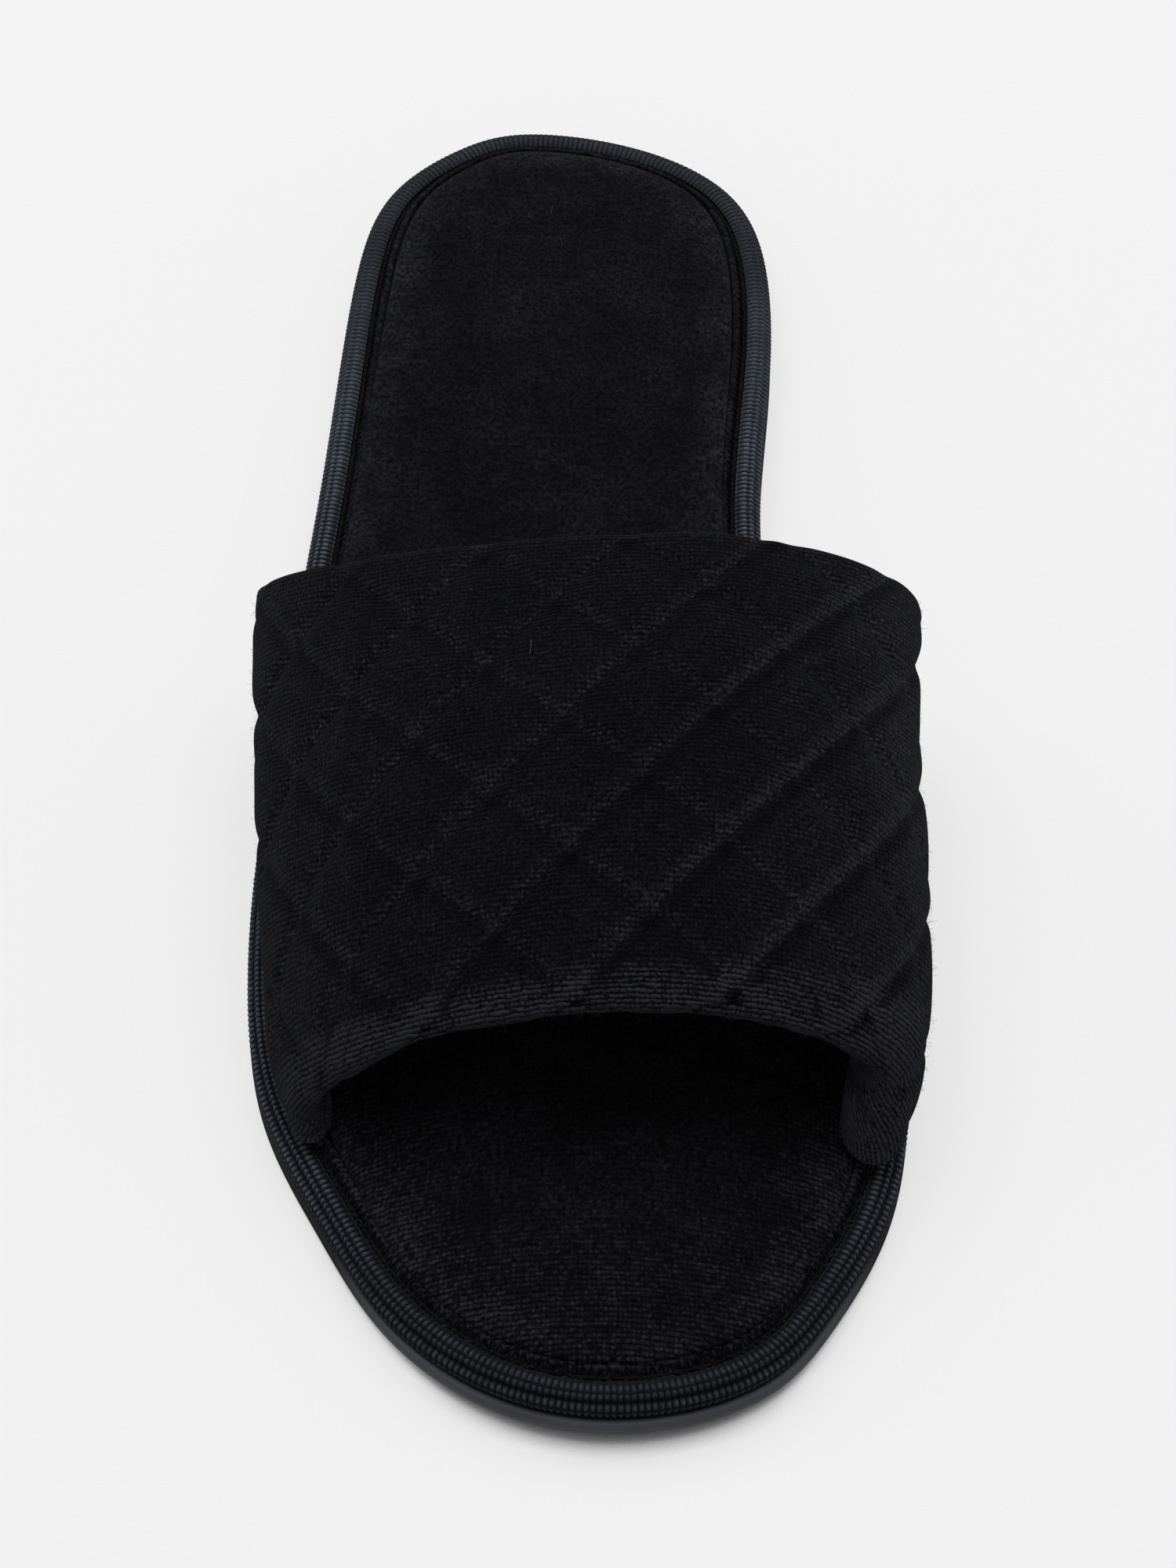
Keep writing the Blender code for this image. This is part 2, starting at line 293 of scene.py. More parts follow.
def times(first, *others):
    """Values multiplied, one after another."""
    for other in others:
        first = calc("MULTIPLY", first, other)
    return first


def ranged(value, start, end, low=0.0, high=1.0, **settings):
    """Low where the value is at start and high where it is at end."""
    limits = {"Value": value, "From Min": start, "From Max": end, "To Min": low, "To Max": high}
    return add(value.id_data, "MapRange", limits, **settings).outputs[0]


def noise(vector, scale, detail, roughness=0.5):
    """Smooth noise around a half."""
    inputs = {"Vector": vector, "Scale": scale, "Detail": detail, "Roughness": roughness}
    return add(vector.id_data, "TexNoise", inputs).outputs[0]


def split(vector):
    """The X, Y and Z of a vector."""
    return add(vector.id_data, "SeparateXYZ", {"Vector": vector}).outputs


def on_object(tree):
    """A point's place on the object, in metres."""
    return add(tree, "TexCoord").outputs["Object"]


def on_map(tree, title):
    """A point's place on one of the piece's own maps."""
    return add(tree, "UVMap", uv_map=title).outputs[0]


def wave(value):
    """A row of humps, one for each whole number."""
    return calc("ABSOLUTE", calc("SINE", times(value, math.pi)))


def bump(strength, distance, height, **under):
    """Normals of a fine relief, over any others given."""
    inputs = {"Strength": strength, "Distance": distance, "Height": height, **under}
    return add(height.id_data, "Bump", inputs).outputs[0]


def effect(name, inputs, outputs):
    """A node group's tree, inputs and output node, with named sockets."""
    tree = bpy.data.node_groups.new(name, "ShaderNodeTree")
    for socket in inputs:
        kind = "NodeSocketVector" if socket == "Vector" else "NodeSocketFloat"
        tree.interface.new_socket(socket, in_out="INPUT", socket_type=kind)
    for socket in outputs:
        tree.interface.new_socket(socket, in_out="OUTPUT", socket_type="NodeSocketFloat")
    given = tree.nodes.new("NodeGroupInput")
    made = tree.nodes.new("NodeGroupOutput")
    return tree, given.outputs, made


def use(group, **inputs):
    """An effect placed in a material, with its own values."""
    return add(inputs["Vector"].id_data, "Group", inputs, node_tree=group).outputs


def finish(name, **plain):
    """A material and its shader, with the numbers that are the same all over."""
    made = bpy.data.materials.new(name)
    made.use_nodes = True
    shader = made.node_tree.nodes["Principled BSDF"]
    for socket, value in plain.items():
        shader.inputs[socket.replace("_", " ")].default_value = value
    return made, made.node_tree, shader


def blended(share, dark, light):
    """A colour between two, by a share of the light one."""
    colours = {0: share, 6: (*dark, 1.0), 7: (*light, 1.0)}
    return add(share.id_data, "Mix", colours, data_type="RGBA").outputs[2]


# patches: broad soft patches of tone, as handling leaves on rubber and cloth
patches, given, made = effect("patches", ("Vector", "Size"), ("Tone",))
scale = calc("DIVIDE", 1.0, given["Size"])
broad = noise(given["Vector"], scale, 4.0, 0.6)
feed(made, {"Tone": ranged(broad, 0.3, 0.7, interpolation_type="SMOOTHSTEP")})


def patchy(place, size):
    """The tone of patches of about this size."""
    return use(patches, Vector=place, Size=size)["Tone"]


turn = np.linspace(0.0, ROUND, 361)
sole_profile = (
    # base, and inset and height over it in millimetres
    (ground, 1.60, 0.00),
    (ground, 1.10, 0.02),
    (ground, 0.62, 0.12),
    (ground, 0.30, 0.32),
    (ground, 0.10, 0.58),
    (ground, 0.00, 0.80),
    (ground, -0.10, 0.92),
    (ground, -0.10, 1.06),
    (ground, 0.03, 1.18),
    (ground, 0.04, 1.60),
    (seat, 0.02, -1.10),
    (seat, 0.02, -0.50),
    (seat, 0.05, -0.14),
    (seat, 0.18, -0.02),
    (seat, 0.70, 0.00),
    (seat, 1.20, 0.00),
    (seat, 4.00, 0.00),
)
SPINE_SHARES = (0.3, 0.65, 1.0)
FAR_INSIDE = 0.005
sole_rows = [sole_row(turn, inset / MM, height / MM, base) for base, inset, height in sole_profile]
rim_under, rim_top = sole_rows[0], sole_rows[-1]
for share in SPINE_SHARES:
    for rim, base in ((rim_under, ground), (rim_top, seat)):
        points = inward(rim, turn, share, base)
        sole_rows = [points] + sole_rows if base is ground else sole_rows + [points]
sole_points = np.stack(sole_rows, axis=1)
ledge = [inset / MM if base is seat else 0.0 for base, inset, _ in sole_profile]
ledge = np.array([0.0] * len(SPINE_SHARES) + ledge + [FAR_INSIDE] * len(SPINE_SHARES))
ledge_map = np.stack([np.tile(ledge, (len(turn), 1))] * 2, axis=2)
rubber_sole = skin("rubber_sole", sole_points, ledge=ledge_map)

# leather_grain: the fine pebbled skin that the mould leaves on the rubber
leather_grain, given, made = effect("leather_grain", ("Vector", "Size"), ("Height",))
scale = calc("DIVIDE", 1.0, given["Size"])
pebbles = {"Vector": given["Vector"], "Scale": scale}
pebbles = add(leather_grain, "TexVoronoi", pebbles, feature="F1").outputs["Distance"]
scratches = noise(given["Vector"], scale, 3.0)
feed(made, {"Height": scaled(scratches, 0.8, pebbles)})

RUBBER_DARK = (0.0020, 0.0020, 0.0024)
RUBBER_LIGHT = (0.1140, 0.1160, 0.1350)
TREAD_WAVE = 420.0
TREAD_RIBS = 1500.0
rubber, tree, shader = finish("sole_rubber", Roughness=0.70, Specular_IOR_Level=0.25)
place = on_object(tree)
tone = patchy(place, 0.012)
facing = split(add(tree, "NewGeometry").outputs["True Normal"])["Z"]
# Painted shade: the rubber is painted dark on its ledge under the tape, and along the sides behind
# the toe.
painted_ledge_shade = ranged(split(on_map(tree, "ledge"))["X"], 0.0004, 0.0008, 1.0, 0.06)
xyz = split(place)
painted_side_shade = ranged(xyz["Y"], -0.117, -0.105, 1.0, 0.16)
shade = times(scaled(tone, 0.22, 0.78), painted_ledge_shade, painted_side_shade)
grain = use(leather_grain, Vector=place, Size=0.0006)["Height"]
# The tread is low wavy ribs across the flat underside, which faces straight down.
under = calc("LESS_THAN", facing, -0.9)
winding = calc("SINE", times(xyz["X"], TREAD_WAVE))
tread = calc("SINE", scaled(winding, 0.9, times(xyz["Y"], TREAD_RIBS)))
tread = times(under, ranged(tread, -0.4, 0.4))
fine = bump(0.5, 0.00006, grain)
feed(shader, {
    "Base Color": blended(shade, RUBBER_DARK, RUBBER_LIGHT),
    "Roughness": ranged(tone, 0.0, 1.0, 0.62, 0.80),
    "Normal": bump(1.0, 0.0005, tread, Normal=fine),
})
rubber_sole.data.materials.append(rubber)
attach(rubber_sole, "root")
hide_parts("outsole")


# Midsole: stiff insole board with a thin foam layer on it. The board is cemented on the
# outsole inside the folded tape, and only its edge can be glimpsed in the seam.
BOARD_DARK = (0.0012, 0.0012, 0.0013)
BOARD_LIGHT = (0.0050, 0.0048, 0.0048)


def two_toned(name, size, dark, light, **plain):
    """A material in patches of two tones, enough for a small dark piece."""
    made, tree, shader = finish(name, **plain)
    place = on_object(tree)
    feed(shader, {"Base Color": blended(patchy(place, size), dark, light)})
    return made, tree, shader, place


board, tree, shader, place = two_toned(
    "insole_board", 0.004, BOARD_DARK, BOARD_LIGHT, Roughness=0.9, Specular_IOR_Level=0.2,
)
matted = noise(place, 2600.0, 5.0)
feed(shader, {"Normal": bump(0.6, 0.00012, matted)})
for material_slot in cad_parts["midsole"].material_slots:
    material_slot.material = board


# Binding: a knitted elastic tape folded round the edge of the board and stitched down.
# Its cross ribs run over the edge, and a crease lies along it where it turns.
RIB = 0.00098
POINTS_A_RIB = 4
TAPE_REACH = 0.0044
TAPE_LINE = 0.0015
TAPE_CORE = np.array((1.9, 2.9))
RIB_DEPTH = 0.26
CREASE_DEPTH = 0.26
CREASE_AT_TOE = 0.62
SLACK_DEPTH = 0.05
TAPE_PROFILE = np.array((
    # inset, height over the seat, both in millimetres, share of the ribs, share of the
    # crease, and the knitted row that lies there, with a ridge halfway between two grooves
    (4.40, 0.34, 0.0, 0.0, 0.0),
    (2.60, 0.36, 0.3, 0.0, 0.0),
    (1.35, 0.55, 0.8, 0.0, 0.0),
    (0.62, 1.00, 1.0, 0.0, 0.5),
    (0.22, 1.70, 0.9, 0.2, 1.0),
    (0.00, 2.35, 1.0, 0.0, 1.5),
    (0.06, 3.05, 0.9, 0.2, 2.0),
    (0.12, 3.75, 1.0, 0.0, 2.5),
    (0.40, 4.40, 1.0, 0.4, 2.7),
    (0.88, 4.84, 0.8, 1.0, 3.0),
    (1.22, 5.14, 0.9, 0.5, 3.2),
    (1.60, 5.42, 1.0, 0.0, 3.5),
    (2.16, 5.40, 0.8, 0.3, 4.0),
    (2.80, 5.58, 1.0, 0.0, 4.5),
    (3.40, 5.42, 1.0, 0.0, 4.8),
    (3.95, 5.22, 0.8, 0.0, 5.0),
    (4.30, 5.02, 0.4, 0.0, 5.3),
    (4.42, 4.70, 0.0, 0.0, 5.5),
    (3.60, 4.50, 0.0, 0.0, 5.5),
    (1.60, 4.40, 0.0, 0.0, 5.5),
    (1.30, 3.20, 0.0, 0.0, 5.5),
    (1.35, 1.60, 0.0, 0.0, 5.5),
    (2.20, 1.32, 0.0, 0.0, 5.5),
    (4.36, 1.30, 0.0, 0.0, 5.5),
    (4.40, 0.34, 0.0, 0.0, 5.5),
))


def walked(turns, inset):
    """Length along the sole's edge up to each angle, at this inset."""
    x, y = round_sole(turns, inset)
    return np.concatenate(([0.0], np.cumsum(np.hypot(np.diff(x), np.diff(y)))))


fine_turn = np.linspace(0.0, ROUND, 4001)
round_edge = walked(fine_turn, TAPE_LINE)
ribs = round(round_edge[-1] / RIB)
steps = POINTS_A_RIB * ribs
tape_turn = np.interp(np.arange(steps + 1) / steps * round_edge[-1], round_edge, fine_turn)
rib_wave = np.abs(np.sin(np.arange(steps + 1) * ribs * math.pi / steps))
toe_share = ramp(-np.cos(tape_turn), 0.05, 0.75)
rib_push = RIB_DEPTH * (1.0 - 0.55 * ramp(np.cos(tape_turn), 0.2, 0.7))
slack = 0.6 * np.sin(5.0 * tape_turn + 0.7) + 0.4 * np.sin(11.0 * tape_turn + 2.0)
tape_rows = []
for inset, height, ribbed, creased, _ in TAPE_PROFILE:
    out = np.array((inset, height)) - TAPE_CORE
    out = out / np.linalg.norm(out)
    push = rib_push * ribbed * (rib_wave - 0.6) + SLACK_DEPTH * slack * ribbed
    push = push - creased * (CREASE_DEPTH + CREASE_AT_TOE * toe_share)
    inset, height = inset + push * out[0], height + push * out[1]
    tape_rows.append(sole_row(tape_turn, inset / MM, height / MM))
tape_length = np.arange(steps + 1) / steps * ribs * RIB
tape_map = np.stack(np.meshgrid(tape_length, TAPE_PROFILE[:, 4], indexing="ij"), axis=2)
knit_binding = skin("knit_binding", np.stack(tape_rows, axis=1), cloth=tape_map)

# knit: loops of yarn in cross ribs, parted by lengthwise rows. Rib is the width of a rib,
# and Parted says how deeply the rows and ribs are parted, from 0 to 1.
knit, given, made = effect("knit", ("Vector", "Rib", "Parted"), ("Height", "Tone"))
place = split(given["Vector"])
along = calc("DIVIDE", place["X"], given["Rib"])
ends = add(knit, "CombineXYZ", {"X": along, "Y": place["Y"]}).outputs[0]
unrest = scaled(noise(ends, 0.6, 2.0), 0.7, -0.35)
across = calc("ADD", place["Y"], times(unrest, 0.4))
along = scaled(unrest, 0.5, along)
groove = calc("SUBTRACT", 1.0, calc("POWER", wave(across), 1.9))
ridge = calc("SUBTRACT", 1.0, times(groove, given["Parted"]))
rib = calc("POWER", wave(along), scaled(given["Parted"], 1.3, 0.50))
loop = times(rib, ridge)
strands = ranged(noise(ends, 4.6, 3.0, 0.7), 0.36, 0.64)
# Tone is dark in the grooves between ribs and rows: painted shade in the recesses, with the
# strands' own tone.
feed(made, {
    "Height": scaled(strands, 0.45, loop),
    "Tone": times(loop, scaled(strands, 1.2, 0.40)),
})

TAPE_DARK = (0.0003, 0.0004, 0.0006)
TAPE_LIGHT = (0.3000, 0.3450, 0.4400)
tape, tree, shader = finish(
    "knit_tape", Roughness=0.62, Specular_IOR_Level=0.13,
    Sheen_Weight=0.05, Sheen_Roughness=0.4, Sheen_Tint=(0.70, 0.82, 1.0, 1.0),
)
place = on_map(tree, "cloth")
behind_toe = split(on_object(tree))["Y"]
parted = ranged(behind_toe, 0.02, 0.09, 1.0, 0.25)
loops = use(knit, Vector=place, Rib=RIB, Parted=parted)
tone = patchy(on_object(tree), 0.009)
# The tape's colour holds painted light and shade: lighter along the sides behind the toe,
# darker at the toe and round the heel, and dark in the shade of its turned-in lower fold.
painted_side_light = ranged(behind_toe, -0.115, -0.075, 0.56, 1.72)
painted_heel_shade = ranged(behind_toe, 0.05, 0.10, 1.0, 0.30)
painted_fold_shade = ranged(split(place)["Y"], 0.10, 0.60, 0.10, 1.0)
shade = times(loops["Tone"], scaled(tone, 0.08, 0.22), times(painted_side_light, painted_heel_shade), painted_fold_shade)
feed(shader, {
    "Base Color": blended(shade, TAPE_DARK, TAPE_LIGHT),
    "Roughness": ranged(loops["Tone"], 0.0, 1.0, 0.85, 0.50),
    "Normal": bump(1.0, 0.00030, loops["Height"]),
})
knit_binding.data.materials.append(tape)
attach(knit_binding, "root")
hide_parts("binding")


# Footbed: a foam pad covered in ribbed velour as the upper is, drawn down over its rounded
# edge and glued on the midsole. Wear has brushed the pile flat from the heel forward, and
# its ribs still show toward the toe.
FOOTBED_THICK = 0.0037
FOOTBED_CROWN = 0.0006
UPPER_FOOT = 0.0045
SEAM = 0.0070
UPPER_ENDS = {-1.0: (-0.0878, 0.0052), 1.0: (-0.0908, -0.0040)}
PRESSED_IN = 0.25
CROWN_STEPS = 15
DENT = 0.00014
BENT_LINES = 4.5
PAD_PROFILE = (
    # inset added and height, both in shares of the thickness; how far the upper presses it
    # in, how far its rim rolls out where the upper is away, and how far the cover draws it
    # in round the heel
    (1.60, 0.02, 0.0, 0.00, 0.00),
    (0.35, 0.00, 0.1, 0.00, 0.00),
    (0.08, 0.10, 0.2, 0.00, 0.00),
    (0.00, 0.30, 0.6, 0.00, 0.05),
    (0.05, 0.50, 0.9, 0.01, 0.12),
    (0.12, 0.62, 1.0, 0.25, 0.26),
    (0.20, 0.71, 1.0, 0.37, 0.40),
    (0.42, 0.84, 0.9, 0.40, 0.60),
    (0.72, 0.93, 0.6, 0.30, 0.76),
    (1.10, 0.99, 0.3, 0.12, 0.84),
    (1.80, 1.04, 0.0, 0.00, 0.60),
    (3.00, 1.09, 0.0, 0.00, 0.20),
    (4.50, 1.13, 0.0, 0.00, 0.00),
)
pad_turn = np.linspace(0.0, ROUND, 441)
_, pad_y = round_sole(pad_turn, SEAM)
pressed = np.zeros(len(pad_turn))
free = np.zeros(len(pad_turn))
for side, (front, back) in UPPER_ENDS.items():
    here = ramp(pad_y, front - 0.003, front + 0.001)
    here = here * (1.0 - ramp(pad_y, back - 0.001, back + 0.003))
    beyond = 1.0 - ramp(pad_y, back + 0.006, back + 0.014)
    away = 1.0 - ramp(pad_y, front - 0.014, front - 0.006) * beyond
    pressed = np.where(np.sign(pad_turn - math.pi) == side, here, pressed)
    free = np.where(np.sign(pad_turn - math.pi) == side, away, free)
free[[0, -1]] = 1.0
free = free * (1.0 - 0.3 * ramp(pad_y, -0.02, 0.05))
drawn_in = ramp(pad_y, 0.05, 0.115)
pad_rows = []
for inset, height, press, roll_out, draw_in in PAD_PROFILE:
    inset = inset + PRESSED_IN * press * pressed - roll_out * free + draw_in * drawn_in
    inset, height = SEAM + inset * FOOTBED_THICK, UPPER_FOOT + height * FOOTBED_THICK
    pad_rows.append(sole_row(pad_turn, inset, height))
pad_under, pad_rim = pad_rows[0], pad_rows[-1]
for share in np.linspace(0.0, 1.0, CROWN_STEPS)[1:]:
    points = inward(pad_rim, pad_turn, share, height=UPPER_FOOT)
    x, y, z = points.T
    bulge = math.sin(share * math.pi / 2.0)
    dents = DENT * (np.sin(190.0 * x + 60.0 * y) + np.sin(95.0 * y - 130.0 * x + 1.0)) * bulge
    points[:, 2] = z + FOOTBED_THICK + FOOTBED_CROWN * (0.80 + 0.20 * bulge) + dents
    pad_rows.append(points)
for share in (0.5, 1.0):
    pad_rows.insert(0, inward(pad_under, pad_turn, share, height=UPPER_FOOT))
pad_points = np.stack(pad_rows, axis=1)
pad_x, pad_y = pad_points[..., 0], pad_points[..., 1]
pad_lines = pad_y + BENT_LINES * pad_x**2 * ramp(-pad_y, 0.0, 0.10)
pad_map = np.stack((pad_x, pad_lines), axis=2)
from_edge = measured(pad_points)
from_edge = np.abs(from_edge - from_edge[:, 4:5])
edge_map = np.stack((from_edge, from_edge), axis=2)
velour_footbed = skin("velour_footbed", pad_points, cloth=pad_map, edge=edge_map)

# pile: rows of short tufts, each row broken into beads of their own tone, under loose nap.
# Row, Bead and Fluff are sizes, Depth is how far the beads are parted, and Nap is how far
# the loose nap hides the rows.
pile, given, made = effect(
    "pile", ("Vector", "Row", "Bead", "Depth", "Fluff", "Nap"), ("Height", "Tone"),
)
place = split(given["Vector"])
drift = noise(given["Vector"], 420.0, 3.0, 0.7)
unrest = scaled(drift, 1.1, -0.55)
across = calc("ADD", unrest, calc("DIVIDE", place["Y"], given["Row"]))
number = calc("FLOOR", across)
shift = calc("SINE", times(number, 12.99))
along = scaled(shift, 0.28, calc("DIVIDE", place["X"], given["Bead"]))
along = scaled(unrest, 0.9, along)
gap = times(calc("SUBTRACT", 1.0, wave(along)), given["Depth"])
tuft = calc("POWER", wave(across), 1.4)
tuft = times(tuft, calc("SUBTRACT", 1.0, gap))
which = add(pile, "CombineXYZ", {"X": calc("FLOOR", along), "Y": number}).outputs[0]
own_tone = add(pile, "TexWhiteNoise", {"Vector": which}, noise_dimensions="2D").outputs[0]
stretched = {"X": place["X"], "Y": times(place["Y"], 0.72)}
stretched = add(pile, "CombineXYZ", stretched).outputs[0]
fuzz = noise(stretched, calc("DIVIDE", 1.0, given["Fluff"]), 2.0, 0.6)
fuzz = ranged(fuzz, 0.38, 0.64)
# The tufts' tone is dark between rows and beads: painted shade in the gaps, with each bead's own
# tone and the fuzz.
tuft_tone = times(tuft, scaled(own_tone, 1.25, 0.38), scaled(fuzz, 1.5, 0.20))
nap_tone = scaled(fuzz, 0.75, 0.13)
for socket, woven in (("Height", tuft), ("Tone", tuft_tone)):
    hidden = add(pile, "Mix", {0: given["Nap"], 2: woven, 3: nap_tone}, data_type="FLOAT")
    feed(made, {socket: hidden.outputs[0]})

FOOTBED_DARK = (0.0002, 0.0002, 0.0003)
FOOTBED_LIGHT = (0.0215, 0.0217, 0.0270)
MOST_NAP = 0.92
velour, tree, shader = finish(
    "footbed_velour", Roughness=0.95, Specular_IOR_Level=0.06,
    Sheen_Weight=0.03, Sheen_Roughness=0.45, Sheen_Tint=(0.75, 0.82, 1.0, 1.0),
)
place = on_map(tree, "cloth")
behind_toe = split(on_object(tree))["Y"]
in_from_edge = split(on_map(tree, "edge"))["X"]
worn = ranged(behind_toe, -0.110, 0.030, 0.12, MOST_NAP)
trodden = ranged(behind_toe, -0.118, -0.100, 0.0, 0.42)
inside = ranged(in_from_edge, 0.008, 0.020)
nap = calc("MINIMUM", scaled(inside, trodden, worn), MOST_NAP)
rows = use(pile, Vector=place, Row=0.00088, Bead=0.00070, Depth=0.6, Fluff=0.00066, Nap=nap)
tone = patchy(on_object(tree), 0.010)
clumps = patchy(place, 0.0024)
# Painted light: the colour is painted lighter toward the rim, where the cover bends over it.
painted_rim_light = ranged(in_from_edge, 0.0100, -0.0100, 1.0, 4.8)
shade = times(rows["Tone"], scaled(tone, 0.34, 0.25), scaled(clumps, 0.60, 0.63), painted_rim_light)
feed(shader, {
    "Base Color": blended(shade, FOOTBED_DARK, FOOTBED_LIGHT),
    "Normal": bump(0.9, 0.00022, rows["Height"]),
})
velour_footbed.data.materials.append(velour)
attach(velour_footbed, "root")
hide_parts("footbed")


# Seam: the trimmed edge of the footbed cover stands in the groove, overlocked, with a chain
# stitch beside it along the tape. Under the upper the band's own edges fill the groove, so
# the seam shows only round the toe and round the heel.
SEAM_CLEAR = 0.0003
FLANGE_LINE = 0.0055
FLANGE_STEP = 0.0009
OVERLOCK = 0.00125
OVERLOCK_LINE = 0.0062
OVERLOCK_POINTS = 6
THREAD = 0.00015
CHAIN = 0.00110
CHAIN_LINE = 0.0050
CHAIN_POINTS = 5
CORD = 0.00021
FLANGE_PROFILE = (
    # inset and height over the seat, in millimetres
    (4.60, 4.28),
    (4.60, 4.60),
    (4.85, 4.74),
    (5.25, 4.78),
    (5.45, 5.10),
    (5.70, 5.80),
    (6.05, 6.30),
    (6.40, 6.48),
    (6.80, 6.48),
    (6.92, 6.20),
    (6.88, 4.60),
    (6.80, 4.28),
    (4.60, 4.28),
)
# where the overlock thread lies: inset and height over the seat
FLANGE_TOP = ((0.0050, 0.0054, 0.0058, 0.0062), (0.00490, 0.00515, 0.00608, 0.00650))


def paced(turns, inset, step):
    """Angles along a stretch of the sole's edge, a step apart at this inset."""
    length = walked(turns, inset)
    return np.interp(np.linspace(0.0, length[-1], round(length[-1] / step) + 1), length, turns)


def threads(name, paths, radius, sides=1):
    """Round threads along the paths, as one closed mesh. A fourth number at a point is the
    share of the radius there."""
    wire = bpy.data.curves.new(name, "CURVE")
    wire.dimensions = "3D"
    wire.bevel_depth = radius
    wire.bevel_resolution = sides
    wire.use_fill_caps = True
    for path in paths:
        spline = wire.splines.new("POLY")
        spline.points.add(len(path) - 1)
        places = np.column_stack((path[:, :3], np.ones(len(path))))
        spline.points.foreach_set("co", places.ravel())
        if path.shape[1] == 4:
            spline.points.foreach_set("radius", path[:, 3])
    drawn = bpy.data.objects.new(name, wire)
    tubes = bpy.data.meshes.new_from_object(drawn)
    mesh = bmesh.new()
    mesh.from_mesh(tubes)
    bpy.data.objects.remove(drawn)
    bpy.data.meshes.remove(tubes)
    bmesh.ops.remove_doubles(mesh, verts=mesh.verts, dist=radius / 50.0)
    return as_piece(name, mesh)


_, groove_y = round_sole(fine_turn, FLANGE_LINE)
lateral = fine_turn < math.pi
front, back = [np.where(lateral, *ends) for ends in zip(*UPPER_ENDS.values())]
round_toe = fine_turn[groove_y < front - SEAM_CLEAR]
round_heel = np.where(lateral, fine_turn, fine_turn - ROUND)
round_heel = np.sort(round_heel[groove_y > back + SEAM_CLEAR])
overlocked = []
corded = []
# Each stretch gets the painted light that the cover has at this distance in from its rim.
for end, stretch, painted_light_as in (("toe", round_toe, -0.008), ("heel", round_heel, 0.006)):
    flange_at = paced(stretch, FLANGE_LINE, FLANGE_STEP)
    ripple = 0.06 * np.sin(37.0 * flange_at) + 0.05 * np.sin(83.0 * flange_at + 1.0)
    flange = np.stack([
        sole_row(flange_at, inset / MM, (height + ripple * (height > 4.5)) / MM)
        for inset, height in FLANGE_PROFILE
    ], axis=1)
    closed = np.repeat(flange[[0, -1]].mean(axis=1, keepdims=True), flange.shape[1], axis=1)
    flange = np.concatenate((closed[:1], flange, closed[1:]))
    seam_flange = skin("seam_flange_" + end, flange, cloth=flange[..., :2],
                       edge=np.full_like(flange[..., :2], painted_light_as))
    seam_flange.data.materials.append(velour)
    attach(seam_flange, "root")

    chain_at = paced(stretch, CHAIN_LINE, CHAIN / CHAIN_POINTS)[6:-6]
    beat = np.arange(len(chain_at)) * math.pi / CHAIN_POINTS
    chain = sole_row(chain_at, CHAIN_LINE + 0.00006 * np.cos(beat), 0.00490)
    corded.append(np.column_stack((chain, 0.55 + 0.55 * np.abs(np.sin(beat)))))

    stitch_at = paced(stretch, OVERLOCK_LINE, OVERLOCK / OVERLOCK_POINTS)[8:-8]
    count = np.arange(len(stitch_at)) / OVERLOCK_POINTS
    uneven = 1.0 + 0.25 * np.sin(3.1 * np.floor(count))
    over = 0.00555 - 0.00048 * np.cos(ROUND * np.mod(count, 1.0)) * uneven
    stitches = sole_row(stitch_at, over, np.interp(over, *FLANGE_TOP))
    overlocked.append(threads("seam_loops_" + end, [stitches], THREAD))
seam_cord = threads("seam_cord", corded, CORD)

worn_edge, tree, shader, place = two_toned(
    "overlocked_edge", 0.0012, (0.0003, 0.0003, 0.0004), (0.0060, 0.0060, 0.0072),
    Roughness=0.9, Specular_IOR_Level=0.08,
)
frayed = noise(place, 3600.0, 4.0)
feed(shader, {"Normal": bump(0.9, 0.00015, frayed)})
cord_yarn, *_ = two_toned(
    "cord_yarn", 0.0009, (0.0012, 0.0013, 0.0018), (0.0090, 0.0094, 0.0115),
    Roughness=0.8, Specular_IOR_Level=0.08,
)
for piece, yarn in [(piece, worn_edge) for piece in overlocked] + [(seam_cord, cord_yarn)]:
    piece.data.materials.append(yarn)
    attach(piece, "root")


# Upper: one quilted band of velour, padding and lining. It is sewn down in the seam on
# both sides, turned under in a soft roll over the toes, and has a folded edge behind.
CROWN = 0.0615
GAP = 0.0003
WALL = 0.0036
FRONT_ROLL = 0.0046
BASE_WALL = 0.0020
CORNER_REACH = {-1.0: 0.0382, 1.0: 0.0380}
CORNER_Y = -0.088
CORNER_SAG = 0.0016
FOOT_BACK = 0.0022
TURN_UNDER = 0.0013
CELLS_APART = 6.0
CELL = 0.0231 / CELLS_APART
PUFF = 0.0010
CREASE = 0.0014
LIT_CREASE = 0.0015
LINING_PUFF = 0.0005
LINES_APART = CELLS_APART * CELL / math.sqrt(2.0)
GROOVE_TOP = 0.0058
BASE_RISE = 0.6 * FOOTBED_THICK
OVER_FOOTBED = FOOTBED_THICK - 0.0003
ACROSS = 24
ALONG = 20
FINE = 6
BAND = (
    # along, ridge, ridge_x, widest, lateral, medial, lateral_square, medial_square
    (0.00, 0.722, 0.060, 0.270, 0.453, 0.477, 1.66, 2.10),
    (0.35, 0.860, 0.090, 0.390, 0.486, 0.503, 1.70, 1.90),
    (0.70, 0.958, 0.125, 0.460, 0.506, 0.502, 1.64, 1.78),
    (1.00, 0.992, 0.145, 0.490, 0.519, 0.519, 1.62, 1.72),
)
# how far behind the toe, in shares of the length: ridge, widest and base on either side
TOE_OPENING = (0.172, 0.175, 0.165, 0.170, 0.159)
THROAT = (0.460, 0.514, 0.498, 0.522, 0.488)


def edge_at(y, inset, side):
    """How far out the inset edge of the sole stands at y, -1 lateral or 1 medial."""
    half = np.linspace(0.0, math.pi, 181)
    x, edge_y = round_sole(half if side < 0 else ROUND - half, inset)
    return np.interp(-np.asarray(y), -edge_y, x)


